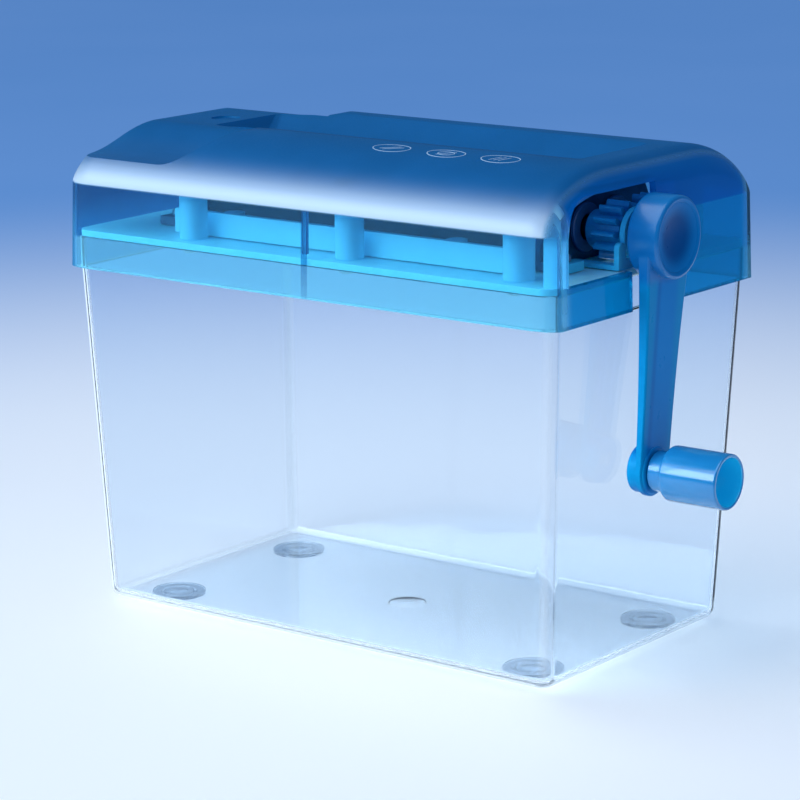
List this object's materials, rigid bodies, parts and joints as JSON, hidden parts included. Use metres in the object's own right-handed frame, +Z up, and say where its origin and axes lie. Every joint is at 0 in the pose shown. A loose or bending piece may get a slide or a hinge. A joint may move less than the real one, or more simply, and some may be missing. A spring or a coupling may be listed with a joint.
{
  "type": "hand-crank paper shredder",
  "caption": "Small hand-crank paper shredder: clear bin, tinted arched head with a paper slot, geared cutter rollers and an end crank with a free-spinning knob.",
  "frame": {"origin": "centre of the bounding box in plan, at the floor under the feet", "axes": "+X along the length towards the crank, +Y from the front face to the back, +Z up"},
  "size_m": [0.201, 0.1018, 0.1418],
  "materials": {
    "clear_plastic": "clear polished",
    "foot_plastic": "clear moulded",
    "tinted_blue": "tinted, fine frost on top",
    "light_blue": "satin",
    "crank_blue": "satin",
    "knob_blue": "gloss",
    "gear_blue": "satin",
    "cutter_steel": "dark oiled",
    "screw_steel": "zinc plated",
    "bush_nylon": "moulded nylon",
    "comb_plastic": "matte"
  },
  "bodies": {
    "bin_body": {"bin": "clear_plastic", "foot_front_left": "foot_plastic", "foot_front_right": "foot_plastic", "foot_back_left": "foot_plastic", "foot_back_right": "foot_plastic"},
    "head": {"top_cover": "tinted_blue", "deck_plate": "light_blue", "housing_front": "light_blue", "housing_back": "light_blue", "side_plate_left": "light_blue", "gear_frame": "light_blue", "feed_guide": "light_blue", "stripper_comb_front": "comb_plastic", "stripper_comb_back": "comb_plastic", "tie_rod_front": "screw_steel", "tie_rod_back": "screw_steel", "bush_left_front": "bush_nylon", "bush_left_back": "bush_nylon", "bush_right_front": "bush_nylon", "bush_right_back": "bush_nylon", "bush_outer": "bush_nylon", "cover_screw_1": "screw_steel", "cover_screw_2": "screw_steel", "cover_screw_3": "screw_steel", "cover_screw_4": "screw_steel", "cover_screw_5": "screw_steel", "cover_screw_6": "screw_steel", "housing_screw_1": "screw_steel", "housing_screw_2": "screw_steel", "housing_screw_3": "screw_steel", "housing_screw_4": "screw_steel", "plate_screw_1": "screw_steel", "plate_screw_2": "screw_steel", "plate_screw_3": "screw_steel", "plate_screw_4": "screw_steel"},
    "crank": {"crank_arm": "crank_blue", "crank_screw": "screw_steel", "hub_cap": "crank_blue", "drive_gear": "gear_blue", "cutter_roller_front": "cutter_steel", "retaining_ring_front": "screw_steel", "knob_pin": "screw_steel", "knob_washer": "screw_steel"},
    "back_roller": {"cutter_roller_back": "cutter_steel", "driven_gear": "gear_blue", "retaining_ring_back": "screw_steel"},
    "knob_body": {"knob": "knob_blue"}
  },
  "joints": [
    {"name": "head_lift", "type": "slide", "parent": "bin_body", "child": "head", "axis": [0, 0, 1], "range_m": [0, 0.06]},
    {"name": "crank_turn", "type": "hinge", "parent": "head", "child": "crank", "pos_m": [0.06, -0.007, 0.1216], "axis": [1, 0, 0], "continuous": true},
    {"name": "back_roller_turn", "type": "hinge", "parent": "head", "child": "back_roller", "pos_m": [0.06, 0.0074, 0.1216], "axis": [1, 0, 0], "continuous": true},
    {"name": "knob_spin", "type": "hinge", "parent": "crank", "child": "knob_body", "pos_m": [0.09, -0.01099, 0.05822], "axis": [1, 0, 0], "continuous": true}
  ],
  "couplings": [
    {"joint": "back_roller_turn", "follows": "crank_turn", "ratio": -1}
  ]
}
